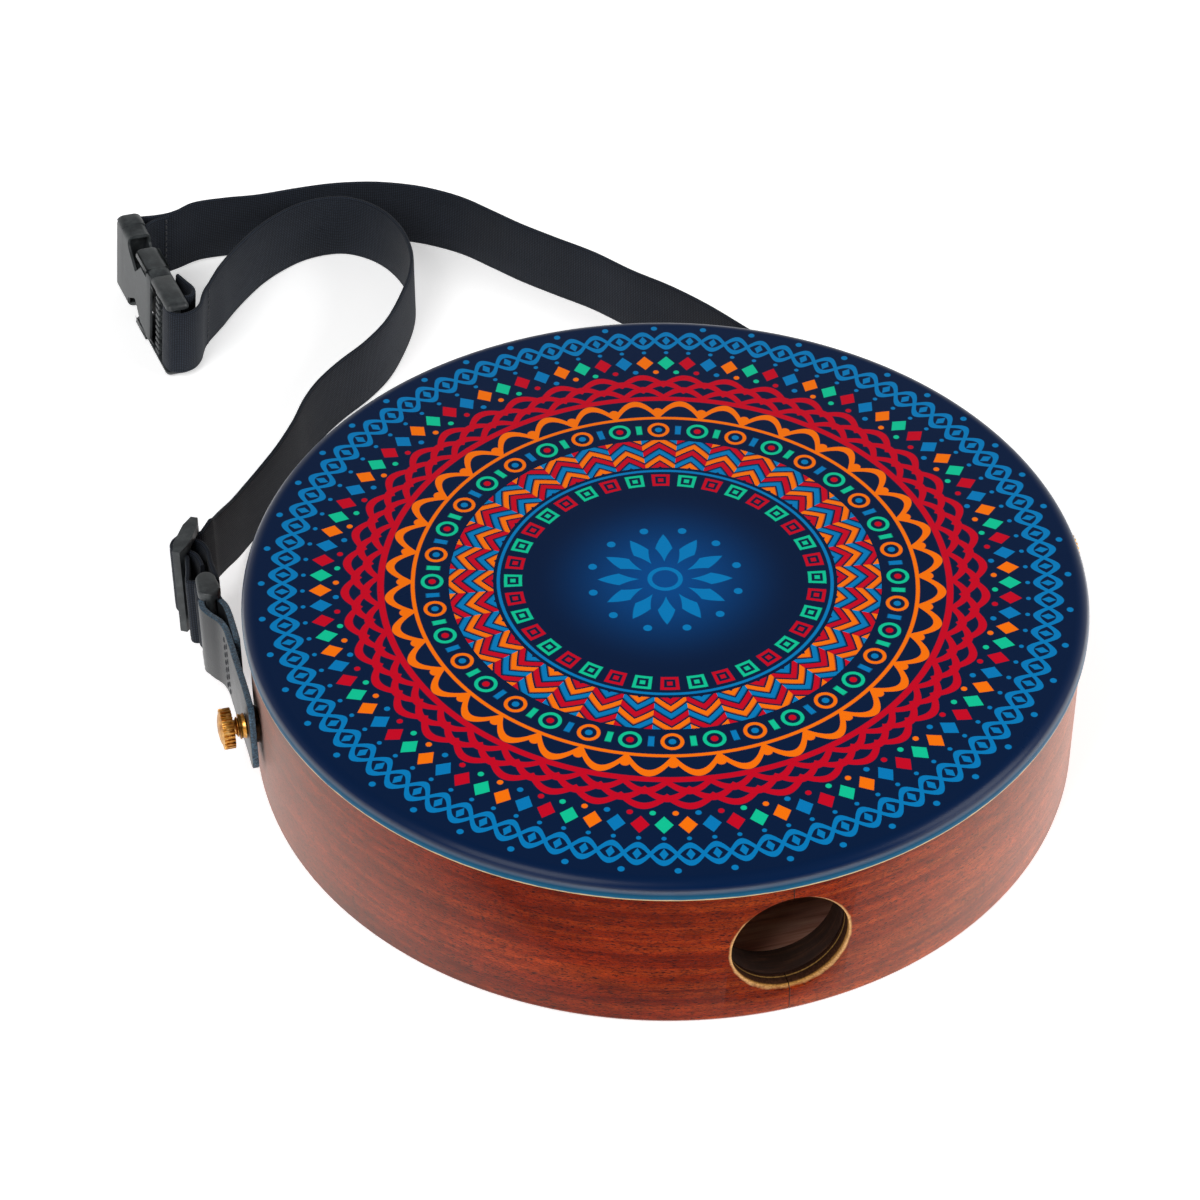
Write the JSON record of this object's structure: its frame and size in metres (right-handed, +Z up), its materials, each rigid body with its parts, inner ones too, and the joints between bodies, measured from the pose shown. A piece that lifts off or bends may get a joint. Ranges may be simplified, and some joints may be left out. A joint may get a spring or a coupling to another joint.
{
  "type": "laptop cajon",
  "caption": "Shallow round box drum played on the lap, with a front sound hole, snare wires under the head and a webbing carrying strap on thumb screws.",
  "frame": {"origin": "middle of the drum's base, where its back rim stands on the floor", "axes": "+Z up through the head, -Y out through the sound hole, +X to the right anchor"},
  "size_m": [0.2755, 0.3961, 0.0577],
  "materials": {
    "stained_ply": "varnished, stained birch ply",
    "printed_head": "clear lacquer over a printed and painted head",
    "raw_wood": "bare sanded wood",
    "brass": "plated, turned and knurled",
    "steel": "plain drawn wire",
    "black_leather": "smooth grain outside, suede inside",
    "black_plastic": "fine spark texture",
    "webbing": "flat woven, fine ribs"
  },
  "bodies": {
    "drum": {"shell": "stained_ply", "head_panel": "printed_head", "back_panel": "raw_wood", "head_lining": "raw_wood", "back_lining": "raw_wood", "hole_block": "raw_wood", "left_anchor_block": "raw_wood", "right_anchor_block": "raw_wood", "left_insert": "brass", "right_insert": "brass", "snare_rail": "raw_wood", "snare_wires": "steel", "snare_screw_1": "steel", "snare_screw_2": "steel", "front_strap": "webbing", "back_strap": "webbing", "buckle_socket": "black_plastic"},
    "left_screw": {"left_thumb_screw": "brass", "left_collar": "brass"},
    "right_screw": {"right_thumb_screw": "brass", "right_collar": "brass"},
    "left_tab": {"left_tab": "black_leather"},
    "right_tab": {"right_tab": "black_leather"},
    "left_ring": {"left_ring": "black_plastic"},
    "right_ring": {"right_ring": "black_plastic"},
    "adjuster": {"adjuster": "black_plastic"},
    "buckle_plug": {"buckle_plug": "black_plastic"},
    "upper_prong": {"upper_prong": "black_plastic"},
    "lower_prong": {"lower_prong": "black_plastic"}
  },
  "joints": [
    {"name": "left_screw_turn", "type": "hinge", "parent": "drum", "child": "left_screw", "pos_m": [-0.13156, 0.00345, 0.02801], "axis": [-0.9997, 0.0262, 0], "range_deg": [0, 1080]},
    {"name": "right_screw_turn", "type": "hinge", "parent": "drum", "child": "right_screw", "pos_m": [0.13128, 0.00918, 0.02801], "axis": [0.9976, 0.0698, 0], "range_deg": [0, 1080]},
    {"name": "left_tab_swivel", "type": "hinge", "parent": "drum", "child": "left_tab", "pos_m": [-0.12826, 0.00336, 0.02801], "axis": [-0.9997, 0.0262, 0], "range_deg": [-30, 30], "deforming": ["front_strap"]},
    {"name": "right_tab_swivel", "type": "hinge", "parent": "drum", "child": "right_tab", "pos_m": [0.12799, 0.00895, 0.02801], "axis": [0.9976, 0.0698, 0], "range_deg": [-4, 14], "deforming": ["back_strap"]},
    {"name": "left_ring_swing", "type": "hinge", "parent": "left_tab", "child": "left_ring", "pos_m": [-0.12988, 0.04837, 0.02605], "axis": [0.0011, 0.0436, 0.999], "range_deg": [-25, 25], "deforming": ["front_strap"]},
    {"name": "right_ring_swing", "type": "hinge", "parent": "right_tab", "child": "right_ring", "pos_m": [0.12012, 0.05268, 0.01943], "axis": [-0.0133, 0.1903, 0.9816], "range_deg": [-35, 4], "deforming": ["back_strap"]},
    {"name": "adjuster_slide", "type": "slide", "parent": "left_tab", "child": "adjuster", "axis": [-0.4954, -0.8678, 0.0384], "range_m": [-0.01, 0.008], "deforming": ["front_strap"]},
    {"name": "buckle_pull", "type": "slide", "parent": "drum", "child": "buckle_plug", "axis": [0.121, -0.9927, 0], "range_m": [0, 0.03], "deforming": ["front_strap", "upper_prong", "lower_prong"]},
    {"name": "upper_prong_press", "type": "hinge", "parent": "buckle_plug", "child": "upper_prong", "pos_m": [-0.11084, 0.22476, 0.0223], "axis": [0.9927, 0.121, 0], "range_deg": [-9, 0], "stiffness_Nm_per_rad": 0.08},
    {"name": "lower_prong_press", "type": "hinge", "parent": "buckle_plug", "child": "lower_prong", "pos_m": [-0.11084, 0.22476, 0.0073], "axis": [0.9927, 0.121, 0], "range_deg": [0, 9], "stiffness_Nm_per_rad": 0.08}
  ]
}
